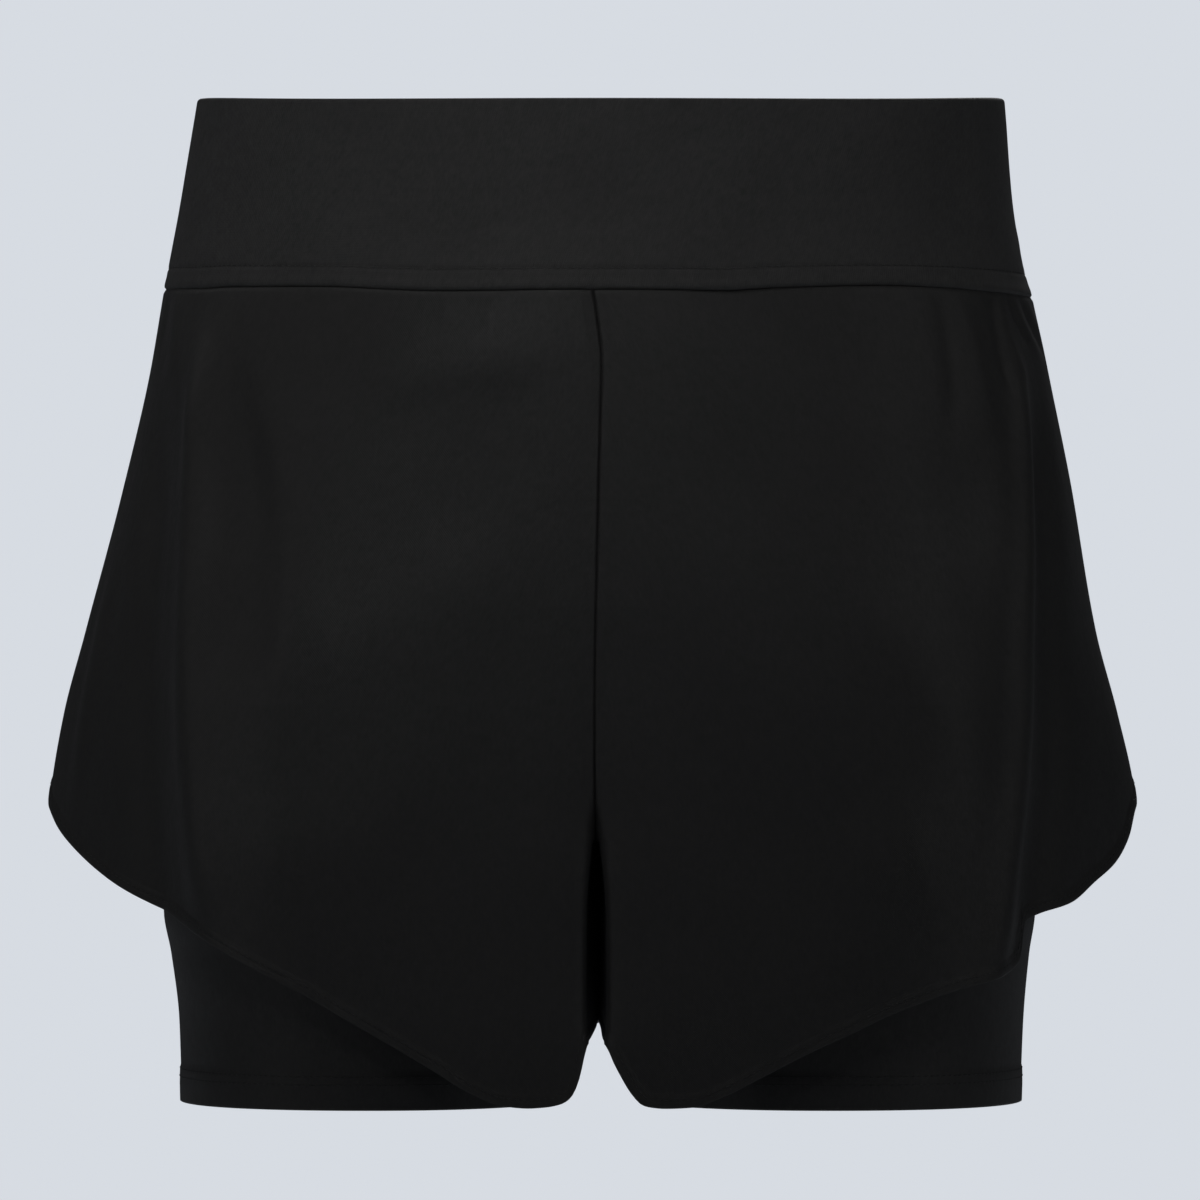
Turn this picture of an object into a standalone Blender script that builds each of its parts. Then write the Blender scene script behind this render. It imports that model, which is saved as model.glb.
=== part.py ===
"""Two-layer tennis shorts, filled out as they are worn, with nobody in them.

A wide waistband carries two layers: a flared woven shell of four panels, whose hem rises in a
rounded corner at each side, and close-fitting inner shorts of one knitted piece a leg.

Metres, +Z up. The front faces -Y and the wearer's left is at +X. The origin is the centre of
the waist opening, level with the band's top edge at the sides. A "drop" is a distance down
from there. "Left" and "right" are the wearer's.
"""

import math
from functools import lru_cache

import bmesh
import bpy
import numpy as np

# ---------------------------------------------------------------- driving sizes, in metres

SEAM = 0.0003  # between two pieces that are sewn together

BAND_HEIGHT = 0.0716
BAND_WALL = 0.0032  # two layers of jersey over elastic
BAND_FOLD = 0.0014  # radius of the folded top edge
FRONT_DIP = 0.0040  # the waistline's centre front hangs this much below its sides
BACK_RISE = 0.0025  # and its centre back stands this much above them
TILT_ENDS = 0.2000  # drop at which the cloth no longer follows the waistline's tilt
TILT_DEPTH = 0.1100  # distance from the side seams at which the tilt is whole

SHELL_WALL = 0.0010
SHELL_CROTCH = 0.2760
VENT_DROP = 0.2590  # the widest point of the side, where the rounded hem corner starts

INNER_WALL = 0.0011
INNER_CROTCH = 0.2650
INNER_HEM = 0.3750
INNER_HEM_WIDTH = 0.0135  # the turned-up edge, two layers thick
INNER_HEM_RAISE = 0.0004
INNER_HEM_STEP = 0.0008

FORK_STARTS = 0.1400  # drop at which the trunk starts to part into two legs

# The worn form of each layer's outer face. A row is a section: half widths at the wearer's
# right and left, depths of the front and back from the side seams, and how square the section
# is at the side, and beside the centre at the front and the back (2 is an ellipse).
SECTION = ("drop", "right", "left", "front", "back", "square", "front_square", "back_square")
BAND_SECTIONS = (
    (0.0000, 0.1504, 0.1520, 0.1000, 0.1010, 2.05, 2.05, 2.05),
    (0.0380, 0.1566, 0.1550, 0.1065, 0.1090, 2.08, 2.08, 2.08),
    (0.0600, 0.1608, 0.1588, 0.1108, 0.1148, 2.10, 2.10, 2.10),
    (0.0720, 0.1630, 0.1625, 0.1130, 0.1180, 2.12, 2.12, 2.12),
)
SHELL_SECTIONS = (
    (0.0720, 0.1628, 0.1623, 0.1128, 0.1178, 2.12, 2.12, 2.12),
    (0.1000, 0.1640, 0.1643, 0.1150, 0.1250, 2.40, 2.30, 2.25),
    (0.1500, 0.1650, 0.1656, 0.1172, 0.1345, 2.90, 2.80, 2.50),
    (0.2000, 0.1655, 0.1655, 0.1182, 0.1385, 3.20, 3.60, 2.80),
    (0.2590, 0.1655, 0.1655, 0.1176, 0.1365, 3.30, 5.20, 3.30),
    (0.3100, 0.1650, 0.1652, 0.1168, 0.1320, 3.30, 5.80, 3.50),
    (0.3800, 0.1645, 0.1650, 0.1165, 0.1280, 3.20, 5.60, 3.50),
)
INNER_SECTIONS = (
    (0.0720, 0.1609, 0.1604, 0.1109, 0.1159, 2.12, 2.12, 2.12),
    (0.1100, 0.1612, 0.1612, 0.1118, 0.1220, 2.14, 2.14, 2.14),
    (0.1600, 0.1618, 0.1618, 0.1118, 0.1295, 2.18, 2.20, 2.20),
    (0.2000, 0.1625, 0.1625, 0.1098, 0.1310, 2.20, 2.20, 2.20),
    (0.2400, 0.1630, 0.1630, 0.1058, 0.1255, 2.20, 2.20, 2.20),
    (0.3040, 0.1630, 0.1634, 0.0985, 0.1090, 2.20, 2.20, 2.20),
    (0.3200, 0.1602, 0.1612, 0.0968, 0.1050, 2.20, 2.20, 2.20),
    (0.3450, 0.1572, 0.1590, 0.0945, 0.0990, 2.20, 2.20, 2.20),
    (0.3800, 0.1562, 0.1577, 0.0925, 0.0945, 2.20, 2.20, 2.20),
)

# How far the shell's side stands out from its section, as the skirted flare of each leg.
FLARE = ("drop", "right", "left")
SHELL_FLARES = (
    (0.0720, 0.0000, 0.0000),
    (0.1000, 0.0038, 0.0038),
    (0.1500, 0.0144, 0.0124),
    (0.2000, 0.0272, 0.0210),
    (0.2300, 0.0352, 0.0290),
    (0.2590, 0.0402, 0.0354),
    (0.3100, 0.0450, 0.0400),
    (0.3800, 0.0480, 0.0430),
)
FLARE_REACH = math.radians(48)  # the flare fades out this far round the section
FLARE_POINT = 2.6  # a higher power draws the flare out to a sharper edge
FLARE_MITRE = 0.2  # wall thicknesses that the inner face stops short by, at that edge

# The slit that shows between the shell's legs at the front: half its width, the drops over
# which it opens, and how far back it closes.
SLIT_WIDTH = 0.0034
SLIT_STARTS = 0.2480
SLIT_FADE = 0.0560
SLIT_DEPTH = 0.0500

# Half the space between a layer's two legs, below its crotch.
GAP = ("below_crotch", "shell", "inner")
LEG_GAPS = (
    (0.0000, 0.00000, 0.0000),
    (0.0060, 0.00010, 0.0030),
    (0.0300, 0.00030, 0.0072),
    (0.0700, 0.00060, 0.0118),
    (0.1120, 0.00080, 0.0160),
)

# The shell's hem, from the side (0) to the inner leg seam (1) of a panel. It starts in a
# rounded corner at the side and is lowest beside the inner leg.
HEM = ("share", "right", "left")
SHELL_HEM = (
    (0.000, VENT_DROP, VENT_DROP),
    (0.010, 0.2634, 0.2632),
    (0.030, 0.2674, 0.2672),
    (0.060, 0.2735, 0.2768),
    (0.100, 0.2802, 0.2857),
    (0.150, 0.2877, 0.2925),
    (0.200, 0.2941, 0.2996),
    (0.260, 0.3002, 0.3036),
    (0.290, 0.3024, 0.3065),
    (0.310, 0.3045, 0.3200),
    (0.350, 0.3091, 0.3250),
    (0.430, 0.3214, 0.3318),
    (0.531, 0.3378, 0.3444),
    (0.614, 0.3505, 0.3545),
    (0.669, 0.3592, 0.3620),
    (0.724, 0.3680, 0.3692),
    (0.765, 0.3716, 0.3728),
    (0.800, 0.3725, 0.3734),
    (0.825, 0.3719, 0.3724),
    (0.845, 0.3706, 0.3696),
    (0.857, 0.3675, 0.3640),
    (0.867, 0.3599, 0.3556),
    (0.880, 0.3520, 0.3512),
    (0.910, 0.3476, 0.3480),
    (1.000, 0.3450, 0.3455),
)

# The largest folds of a shell panel: ridges stand out and troughs go in. Each is a soft wave
# across the cloth, placed and measured in shares of the panel's width, that starts and ends
# over "fade" and moves sideways by "drift" on its way down.
FOLD = ("share", "half_width", "depth", "starts", "ends", "fade", "drift")
SHELL_FOLDS = {
    "front": {
        "left": (
            (0.170, 0.026, 0.0040, 0.0800, 0.3500, 0.0450, 0.2150),
            (0.112, 0.040, -0.0044, 0.0900, 0.3400, 0.0600, 0.1900),
            (0.240, 0.030, 0.0012, 0.0950, 0.2100, 0.0500, 0.0600),
            (0.345, 0.050, -0.0018, 0.0950, 0.1900, 0.0450, 0.0400),
        ),
        "right": (
            (0.222, 0.030, 0.0038, 0.0780, 0.3250, 0.0450, 0.1650),
            (0.144, 0.042, -0.0038, 0.1000, 0.3300, 0.0600, 0.1450),
            (0.285, 0.046, -0.0030, 0.0900, 0.2450, 0.0600, 0.1100),
            (0.440, 0.060, 0.0012, 0.1100, 0.2600, 0.0700, 0.0300),
        ),
    },
    "back": {
        "left": (
            (0.180, 0.032, 0.0030, 0.0900, 0.3400, 0.0600, 0.1500),
            (0.120, 0.042, -0.0026, 0.1000, 0.3300, 0.0600, 0.1500),
            (0.330, 0.050, -0.0022, 0.1500, 0.3000, 0.0600, 0.0600),
        ),
        "right": (
            (0.210, 0.034, 0.0032, 0.0850, 0.3400, 0.0600, 0.1300),
            (0.140, 0.042, -0.0030, 0.1000, 0.3300, 0.0600, 0.1400),
            (0.350, 0.050, -0.0024, 0.1400, 0.3100, 0.0600, 0.0500),
        ),
    },
}

# Grid divisions of each kind of piece: round the section, and down it. The rows close up
# towards the crotch, which one of them meets. A shell panel's columns close up at its side
# corner, at the fold over the thigh and at the bend of its hem beside the inner leg.
BAND_DIVISIONS = (34, 6)
SHELL_DIVISIONS = (26, 23)
INNER_DIVISIONS = (34, 17)
CROTCH_CLOSENESS = 1.7
COLUMN = ("column", "share")
SHELL_COLUMNS = (
    (0.00, 0.000),
    (0.12, 0.022),
    (0.27, 0.120),
    (0.42, 0.270),
    (0.50, 0.342),
    (0.60, 0.600),
    (0.70, 0.745),
    (0.80, 0.845),
    (0.90, 0.900),
    (1.00, 1.000),
)

CREASE_SHARE = 0.5  # the share of a panel's width from its side to the middle of the thigh
BEND_SHARE = 0.85  # the share from a shell panel's side to the bend round to the inner leg
BEND_INSET = 0.012  # distance of that bend from the panel's inner edge
TRACE_POINTS = 240  # points that a section's outline is measured with
TRACE_STEP = 0.0015  # distance over which its direction is measured
WEARER = {"left": 1.0, "right": -1.0}


# ---------------------------------------------------------------- tables and sections


def column(columns, rows, name):
    """One named column of a table, as an array."""
    return np.array([row[columns.index(name)] for row in rows])


def between(columns, rows, name, at):
    """A column read at any place down the table's first one, smoothly and with no overshoot."""
    x = column(columns, rows, columns[0])
    y = column(columns, rows, name)
    step = np.diff(x)
    slope = np.diff(y) / step
    bend = np.zeros(len(x))
    bend[0], bend[-1] = slope[0], slope[-1]
    for i in range(1, len(x) - 1):
        if slope[i - 1] * slope[i] > 0:
            before = 2 * step[i] + step[i - 1]
            after = step[i] + 2 * step[i - 1]
            bend[i] = (before + after) / (before / slope[i - 1] + after / slope[i])
    at = min(max(at, x[0]), x[-1])
    i = min(int(np.searchsorted(x, at, side="right")) - 1, len(step) - 1)
    t = (at - x[i]) / step[i]
    value = y[i] * (1 + 2 * t) * (1 - t) ** 2 + y[i + 1] * t**2 * (3 - 2 * t)
    return float(value + step[i] * t * (1 - t) * (bend[i] * (1 - t) - bend[i + 1] * t))


def eased(t):
    """0 to 1 with a soft start and end."""
    t = min(max(t, 0.0), 1.0)
    return t * t * (3 - 2 * t)


def power(base, exponent):
    """A signed power, which keeps each quarter of an oval on its own side."""
    return np.sign(base) * np.abs(base) ** exponent


@lru_cache(maxsize=None)
def outline(layer, side, face, drop, inset):
    """Half a layer's section, as points from the side seam round to the centre or inner leg seam.

    The trunk's half section is an oval cut off at the centre seam. The cut closes with the
    drop, until at the crotch the whole oval is left, which is the leg's.
    """
    sections, crotch = {
        "band": (BAND_SECTIONS, math.inf),
        "shell": (SHELL_SECTIONS, SHELL_CROTCH),
        "inner": (INNER_SECTIONS, INNER_CROTCH),
    }[layer]
    crotch -= inset
    seam = SEAM / 2
    square = between(SECTION, sections, "square", drop)
    centre_square = between(SECTION, sections, face + "_square", drop)
    reach = between(SECTION, sections, side, drop) - inset - seam
    depth = between(SECTION, sections, face, drop) - inset - seam
    if drop < crotch:
        fork = eased((drop - FORK_STARTS) / (crotch - FORK_STARTS))
        radius = reach / (1 + fork)
        centre = seam + fork * radius
        last = math.acos(-(fork ** (centre_square / 2)))
    else:
        gap = between(GAP, LEG_GAPS, layer, drop - crotch)
        gap += inset * min(1.0, (drop - crotch) / INNER_WALL)
        radius = (reach - gap) / 2
        centre = seam + gap + radius
        last = math.pi
    angle = np.linspace(0.0, last, TRACE_POINTS)
    bend = np.where(angle < math.pi / 2, square, centre_square)
    x = centre + radius * power(np.cos(angle), 2 / bend)
    y = seam + depth * power(np.sin(angle), 2 / bend)
    if layer == "shell":
        flare = between(FLARE, SHELL_FLARES, side, drop)
        flare -= min(flare, inset * FLARE_MITRE)
        x += flare * np.clip(1 - angle / FLARE_REACH, 0, 1) ** FLARE_POINT
        if face == "front":
            opened = np.clip((y - y[-1]) / SLIT_DEPTH, 0, 1) ** 2
            x = np.hypot(x, SLIT_WIDTH * eased((drop - SLIT_STARTS) / SLIT_FADE) * opened)
    return x, y


def place_on(layer, side, face, drop, inset, share):
    """The point at a share of the way round half a section, and its outward direction."""
    x, y = outline(layer, side, face, drop, inset)
    round_it = np.concatenate([[0.0], np.cumsum(np.hypot(np.diff(x), np.diff(y)))])
    marks = [(0.0, 0.0), (CREASE_SHARE, np.interp(-x[0] / 2, -x, round_it))]
    if layer == "shell":
        marks.append((BEND_SHARE, np.interp(-x[-1] - BEND_INSET, -x, round_it)))
    at = np.interp(share, *zip(*marks, (1.0, round_it[-1])))
    point = np.array([np.interp(at, round_it, x), np.interp(at, round_it, y)])
    ends = np.clip([at - TRACE_STEP, at + TRACE_STEP], 0.0, round_it[-1])
    along = np.array([np.diff(np.interp(ends, round_it, c))[0] for c in (x, y)])
    return point, np.array([along[1], -along[0]]) / np.hypot(*along)


def in_space(side, face, point, drop):
    """A section's point in space. The waistline's tilt lowers the front and raises the back."""
    fade = 1 - eased((drop - BAND_HEIGHT) / (TILT_ENDS - BAND_HEIGHT))
    tilt = fade * eased(point[1] / TILT_DEPTH)
    if face == "front":
        return (WEARER[side] * point[0], -point[1], -drop - FRONT_DIP * tilt)
    return (WEARER[side] * point[0], point[1], -drop + BACK_RISE * tilt)


def fold_height(folds, share, drop):
    """How far the folds move the cloth out at a place on a panel."""
    height = 0.0
    for row in folds:
        fold = dict(zip(FOLD, row))
        run = (drop - fold["starts"]) / (fold["ends"] - fold["starts"])
        away = (share - fold["share"] - fold["drift"] * run) / fold["half_width"]
        fade = eased((drop - fold["starts"]) / fold["fade"])
        fade *= eased((fold["ends"] - drop) / fold["fade"])
        height += fold["depth"] * fade * math.exp(-(away**2))
    return height


def hem_drop(side, share):
    """The drop of a shell panel's hem, from its rounded side corner to the inner leg seam."""
    return between(HEM, SHELL_HEM, side, share)


def row_share(row, rows, crotch_share):
    """How far down a grid row lies, 0 to 1, with rows closing up on the one at the crotch."""
    crotch_row = round(rows * (crotch_share + 0.08))
    if row <= crotch_row:
        return crotch_share * (1 - (1 - row / crotch_row) ** CROTCH_CLOSENESS)
    return crotch_share + (1 - crotch_share) * (row - crotch_row) / (rows - crotch_row)


# ---------------------------------------------------------------- meshes and materials


def cloth_mesh(name, divisions, place):
    """A closed sheet of cloth: a grid of outer and one of inner points, joined round the rim."""
    columns, rows = divisions
    bm = bmesh.new()
    faces = []
    for inside in (False, True):
        grid = [[bm.verts.new(place(i, j, inside)) for j in range(rows + 1)] for i in range(columns + 1)]
        faces.append(grid)
        for i in range(columns):
            for j in range(rows):
                bm.faces.new((grid[i][j], grid[i + 1][j], grid[i + 1][j + 1], grid[i][j + 1]))
    outer, inner = faces
    rim = [(i, 0) for i in range(columns)] + [(columns, j) for j in range(rows)]
    rim += [(i, rows) for i in range(columns, 0, -1)] + [(0, j) for j in range(rows, 0, -1)]
    for (a, b), (c, d) in zip(rim, rim[1:] + rim[:1]):
        bm.faces.new((outer[a][b], inner[a][b], inner[c][d], outer[c][d]))
    bmesh.ops.recalc_face_normals(bm, faces=bm.faces)
    for face in bm.faces:
        face.smooth = True
    mesh = bpy.data.meshes.new(name)
    bm.to_mesh(mesh)
    bm.free()
    return mesh


def add_piece(name, mesh, material):
    """A named object in the scene, with its material."""
    mesh.materials.append(material)
    piece = bpy.data.objects.new(name, mesh)
    bpy.context.scene.collection.objects.link(piece)
    return piece


def cloth_material(name, colour, roughness):
    """A plain black cloth: its colour (linear) and roughness."""
    material = bpy.data.materials.new(name)
    material.use_nodes = True
    shader = material.node_tree.nodes["Principled BSDF"]
    shader.inputs["Base Color"].default_value = (*colour, 1.0)
    shader.inputs["Roughness"].default_value = roughness
    shader.inputs["Metallic"].default_value = 0.0
    material.diffuse_color = (*colour, 1.0)
    material.roughness = roughness
    return material


# ---------------------------------------------------------------- the pieces


def waistband_half(face, material):
    """Half the waistband, from the right side seam to the left one, folded at the top edge."""
    columns, rows = BAND_DIVISIONS

    def place(i, j, inside):
        side = "right" if 2 * i < columns else "left"
        drop = BAND_HEIGHT * (j / rows) ** 2
        curl = BAND_FOLD - math.sqrt(BAND_FOLD**2 - max(0.0, BAND_FOLD - drop) ** 2)
        inset = BAND_WALL - curl if inside else curl
        share = 2 * min(i, columns - i) / columns
        point, _ = place_on("band", side, face, drop, inset, share)
        return in_space(side, face, point, drop)

    name = f"waistband_{face}"
    return add_piece(name, cloth_mesh(name, BAND_DIVISIONS, place), material)


def shell_panel(face, side, material):
    """A panel of the outer shell, from its side seam to the centre, and on down one leg."""
    columns, rows = SHELL_DIVISIONS
    folds = SHELL_FOLDS[face][side]
    top = BAND_HEIGHT + SEAM
    crotch_share = (SHELL_CROTCH - top) / (hem_drop(side, 1.0) - top)

    def place(i, j, inside):
        share = between(COLUMN, SHELL_COLUMNS, "share", i / columns)
        drop = top + (hem_drop(side, share) - top) * row_share(j, rows, crotch_share)
        inset = SHELL_WALL if inside else 0.0
        lift = inset * math.exp(-(((drop - SHELL_CROTCH) / 0.02) ** 2))
        point, outward = place_on("shell", side, face, drop - lift, inset, share)
        free = eased(share / 0.04) * eased((1 - share) / 0.1)
        point = point + outward * fold_height(folds, share, drop) * free
        return in_space(side, face, point, drop - lift)

    name = f"shell_{face}_{side}"
    return add_piece(name, cloth_mesh(name, SHELL_DIVISIONS, place), material)


def inner_leg(side, material):
    """One side of the inner shorts: round from the front seam by the hip to the back seam."""
    columns, rows = INNER_DIVISIONS
    top = BAND_HEIGHT + SEAM
    plain = INNER_HEM - INNER_HEM_WIDTH - INNER_HEM_STEP
    crotch_share = (INNER_CROTCH - top) / (plain - top)

    def place(i, j, inside):
        face = "front" if 2 * i < columns else "back"
        share = abs(1 - 2 * i / columns)
        if j < rows - 1:
            drop = top + (plain - top) * row_share(j, rows - 2, crotch_share)
        else:
            drop = INNER_HEM if j == rows else plain + INNER_HEM_STEP
        raised = INNER_HEM_RAISE if drop > plain else 0.0
        inset = INNER_WALL + raised if inside else -raised
        lift = max(0.0, inset) * math.exp(-(((drop - INNER_CROTCH) / 0.02) ** 2))
        point, _ = place_on("inner", side, face, drop - lift, inset, share)
        return in_space(side, face, point, drop - lift)

    name = f"inner_{side}"
    return add_piece(name, cloth_mesh(name, INNER_DIVISIONS, place), material)


def clear_scene():
    """Start from an empty file."""
    for item in list(bpy.data.objects):
        bpy.data.objects.remove(item, do_unlink=True)


def build():
    """All pieces of the shorts."""
    clear_scene()
    band_cloth = cloth_material("band_jersey", (0.0150, 0.0150, 0.0155), 0.86)
    shell_cloth = cloth_material("shell_weave", (0.0105, 0.0105, 0.0110), 0.72)
    inner_cloth = cloth_material("inner_knit", (0.0090, 0.0090, 0.0095), 0.80)
    for face in ("front", "back"):
        waistband_half(face, band_cloth)
        for side in ("left", "right"):
            shell_panel(face, side, shell_cloth)
    for side in ("left", "right"):
        inner_leg(side, inner_cloth)


build()
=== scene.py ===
"""The looks of two-layer tennis shorts: black cloth, filled out as when worn."""

import math

import bmesh
import bpy
import numpy as np
from mathutils import Matrix, Vector
from mathutils.bvhtree import BVHTree


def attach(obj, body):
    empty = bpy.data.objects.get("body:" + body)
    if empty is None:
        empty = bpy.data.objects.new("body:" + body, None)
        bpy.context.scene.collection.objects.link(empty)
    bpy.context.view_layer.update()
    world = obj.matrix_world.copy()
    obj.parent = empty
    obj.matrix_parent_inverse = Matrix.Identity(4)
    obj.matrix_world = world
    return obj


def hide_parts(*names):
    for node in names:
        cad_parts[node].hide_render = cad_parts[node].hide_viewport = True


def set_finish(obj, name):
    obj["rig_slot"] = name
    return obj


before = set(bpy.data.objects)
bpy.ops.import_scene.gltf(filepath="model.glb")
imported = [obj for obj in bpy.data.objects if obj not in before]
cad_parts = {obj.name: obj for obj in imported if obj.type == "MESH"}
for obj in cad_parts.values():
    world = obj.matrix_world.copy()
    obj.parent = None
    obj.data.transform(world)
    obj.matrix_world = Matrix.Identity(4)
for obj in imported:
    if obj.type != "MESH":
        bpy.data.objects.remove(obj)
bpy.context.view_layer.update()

# ------------------------------------------------------------------ waistband
# The real waistband is black double jersey over wide elastic, cut as a front and a back half.
# It is joined at the sides, folded over at the top edge, and topstitched above its lower seam,
# which takes in both layers of the shorts.

SEAM = 0.0003  # between the band and what hangs from it; metres, as all lengths here
BAND_HEIGHT = 0.0716
BAND_WALL = 0.0030
BAND_FOLD = 0.0015  # radius of the folded top edge
BAND_STITCH = 0.0078  # the topstitching's height above the lower seam
BAND_STITCH_PITCH = 0.0028
THREAD = 0.00017  # the sewing thread's radius
THREAD_FLATNESS = 0.8  # its height as a share of its width
THREAD_LIFT = 0.35  # how many radii its middle stands off the cloth
FRONT_DIP = 0.0040  # the waistline's centre front hangs this much below its sides
BACK_RISE = 0.0025  # and its centre back stands this much above them
TILT_ENDS = 0.2000  # drop at which the cloth no longer follows that tilt
TILT_DEPTH = 0.1100  # distance from the side seams at which the tilt is whole
WEARER = {"left": 1.0, "right": -1.0}
# The worn form, from the waist down. A row is a section: half widths at the wearer's right and
# left, depths of the front and back from the side seams, and how square the section is at the
# side, and beside the centre at the front and the back (2 is an ellipse).
SECTION = ("drop", "right", "left", "front", "back", "square", "front_square", "back_square")
BAND_SECTIONS = (
    (0.0000, 0.1504, 0.1520, 0.0993, 0.1010, 2.05, 2.05, 2.05),
    (0.0380, 0.1566, 0.1550, 0.1065, 0.1090, 2.08, 2.08, 2.08),
    (0.0600, 0.1608, 0.1588, 0.1108, 0.1148, 2.10, 2.10, 2.10),
    (0.0720, 0.1630, 0.1625, 0.1130, 0.1180, 2.12, 2.12, 2.12),
)
# How far the seam under the band hangs below a level line, across the shorts from the wearer's
# right (x below 0) to left.
WAIST_LINE = ("x", "front", "back")
WAIST_LINES = (
    (-0.1630, 0.0000, 0.0000),
    (-0.1480, -0.0011, -0.0006),
    (-0.1350, -0.0022, -0.0010),
    (-0.1000, -0.0024, -0.0002),
    (-0.0780, -0.0015, 0.0004),
    (-0.0580, -0.0009, 0.0000),
    (-0.0200, -0.0011, -0.0008),
    (0.0300, -0.0011, -0.0004),
    (0.0450, -0.0009, 0.0003),
    (0.0650, -0.0021, 0.0006),
    (0.1050, -0.0028, -0.0004),
    (0.1300, -0.0017, -0.0006),
    (0.1450, 0.0000, 0.0002),
    (0.1540, 0.0013, 0.0012),
    (0.1620, 0.0030, 0.0030),
)
WAIST_LINE_REACH = 0.020  # how far up and down the cloth follows that seam
# How far the front's centre seam strays to the wearer's left, going down.
CENTRE_LINE = ("drop", "front")
CENTRE_LINES = (
    (0.0716, -0.0024),
    (0.0780, -0.0013),
    (0.0880, 0.0001),
    (0.0960, 0.0009),
    (0.1020, 0.0009),
    (0.1180, 0.0005),
    (0.1700, -0.0007),
    (0.2050, -0.0014),
    (0.2400, -0.0016),
    (0.3000, -0.0009),
    (0.3450, -0.0009),
)
CENTRE_LINE_REACH = 0.045  # how far to each side the cloth follows the centre seam
CENTRE_LINE_STARTS = 0.030  # how far in front of the side seams it starts to
CENTRE_LINE_FADE = 0.060  # and over what depth it comes to follow it wholly
# What shows of a piece, laid flat: its width, its length and its area in square metres.
BAND_CUT = {"front": (0.4415, 0.0716, 0.0310), "back": (0.4487, 0.0716, 0.0318)}
# Soft creases, from one place to another on a piece: distance round from its side seam, drop,
# half width, height (a trough's is below 0), and how far the line bows sideways.
CREASE = ("around", "drop", "to_around", "to_drop", "half_width", "height", "bow")
CREASE_OVERRUN = 0.12  # how far it runs on past its ends, as a share of its length
CREASE_EASE = 0.40  # over what share of its length it rises, and falls again
BAND_CREASES = {
    "front": {
        "left": (
            (0.050, 0.002, 0.062, 0.066, 0.0190, -0.0021, 0.003),
            (0.036, 0.004, 0.044, 0.060, 0.0100, 0.0006, 0.003),
            (0.090, 0.000, 0.100, 0.060, 0.0160, 0.0005, 0.006),
            (0.004, 0.050, 0.040, 0.069, 0.0050, 0.0005, 0.002),
            (0.168, 0.040, 0.270, 0.040, 0.0160, -0.0020, 0.000),
        ),
        "right": (
            (0.030, 0.004, 0.040, 0.060, 0.0120, -0.0006, 0.005),
            (0.070, 0.015, 0.062, 0.070, 0.0140, 0.0005, 0.003),
            (0.110, 0.000, 0.120, 0.050, 0.0180, -0.0004, 0.004),
            (0.150, 0.040, 0.270, 0.040, 0.0160, -0.0020, 0.000),
        ),
    },
    "back": {
        "left": (
            (0.030, 0.012, 0.046, 0.066, 0.0100, -0.0007, 0.005),
            (0.080, 0.010, 0.074, 0.070, 0.0150, 0.0006, 0.004),
            (0.128, 0.020, 0.140, 0.068, 0.0130, -0.0005, 0.003),
        ),
        "right": (
            (0.024, 0.020, 0.036, 0.070, 0.0090, -0.0007, 0.004),
            (0.066, 0.004, 0.078, 0.060, 0.0160, -0.0006, 0.006),
            (0.120, 0.010, 0.112, 0.066, 0.0140, 0.0006, 0.003),
        ),
    },
}
# Seams and rows of stitches draw the cloth in: how deep each one does, and half how wide.
BAND_SIDE_SEAM = (0.0006, 0.0014)
BAND_ROW = (0.0004, 0.0005)
BAND_FOOT = (0.0008, 0.0009)  # how far the lower edge turns in, and over what height
BAND_FULLNESS = (0.0002, 0.0014)  # the soft roll between the topstitching and the foot
BAND_FULLNESS_AT = 0.0022  # its height above the foot
# Where the band is held and creases less: at a side seam (the share of its width at which the
# hold starts to let go, and over how much it does), under its fold, and over its lower seam.
BAND_HELD_SIDE = (-0.010, 0.050)
BAND_HELD_TOP = 0.012
BAND_HELD_FOOT = (0.055, 0.016)  # the drop at which that hold starts, and over what drop
BAND_FOOT_HOLD = 0.40  # the share of a crease that it takes away
BAND_UNEVENNESS = (0.060, 0.00022)  # the size and the height of its waves
BAND_SEED = 3
WAVES = 9  # that a cloth's unevenness is the sum of
WAVE_SIZES = (0.7, 1.5)  # the smallest and the largest, as shares of their usual size
BAND_STEPS = {"round": (110, 0.12, 1.0), "down": (74, 0.18, 0.3)}  # as graded takes them
BAND_LEVELS = 120  # at which the band's form is worked out


def table_value(columns, rows, name, at):
    """A column of a table read at any places down its first one, smoothly, with no overshoot."""
    x = np.array([row[0] for row in rows])
    y = np.array([row[columns.index(name)] for row in rows])
    step, slope = np.diff(x), np.diff(y) / np.diff(x)
    bend = np.concatenate([slope[:1], np.zeros(len(x) - 2), slope[-1:]])
    for i in range(1, len(x) - 1):
        if slope[i - 1] * slope[i] > 0:
            before, after = 2 * step[i] + step[i - 1], step[i] + 2 * step[i - 1]
            bend[i] = (before + after) / (before / slope[i - 1] + after / slope[i])
    at = np.clip(at, x[0], x[-1])
    i = np.clip(np.searchsorted(x, at, side="right") - 1, 0, len(step) - 1)
    t = (at - x[i]) / step[i]
    value = y[i] * (1 + 2 * t) * (1 - t) ** 2 + y[i + 1] * t**2 * (3 - 2 * t)
    return value + step[i] * t * (1 - t) * (bend[i] * (1 - t) - bend[i + 1] * t)


def eased(t):
    """0 to 1 with a soft start and end."""
    t = np.clip(t, 0.0, 1.0)
    return t * t * (3 - 2 * t)


def bell(distance, half_width):
    """1 along a line, falling off softly to both sides of it."""
    return np.exp(-((distance / half_width) ** 2))


def groove(line, distance):
    """How deep a seam or a row of stitches draws the cloth in, at a distance from it."""
    depth, half_width = line
    return depth * bell(distance, half_width)


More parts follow.
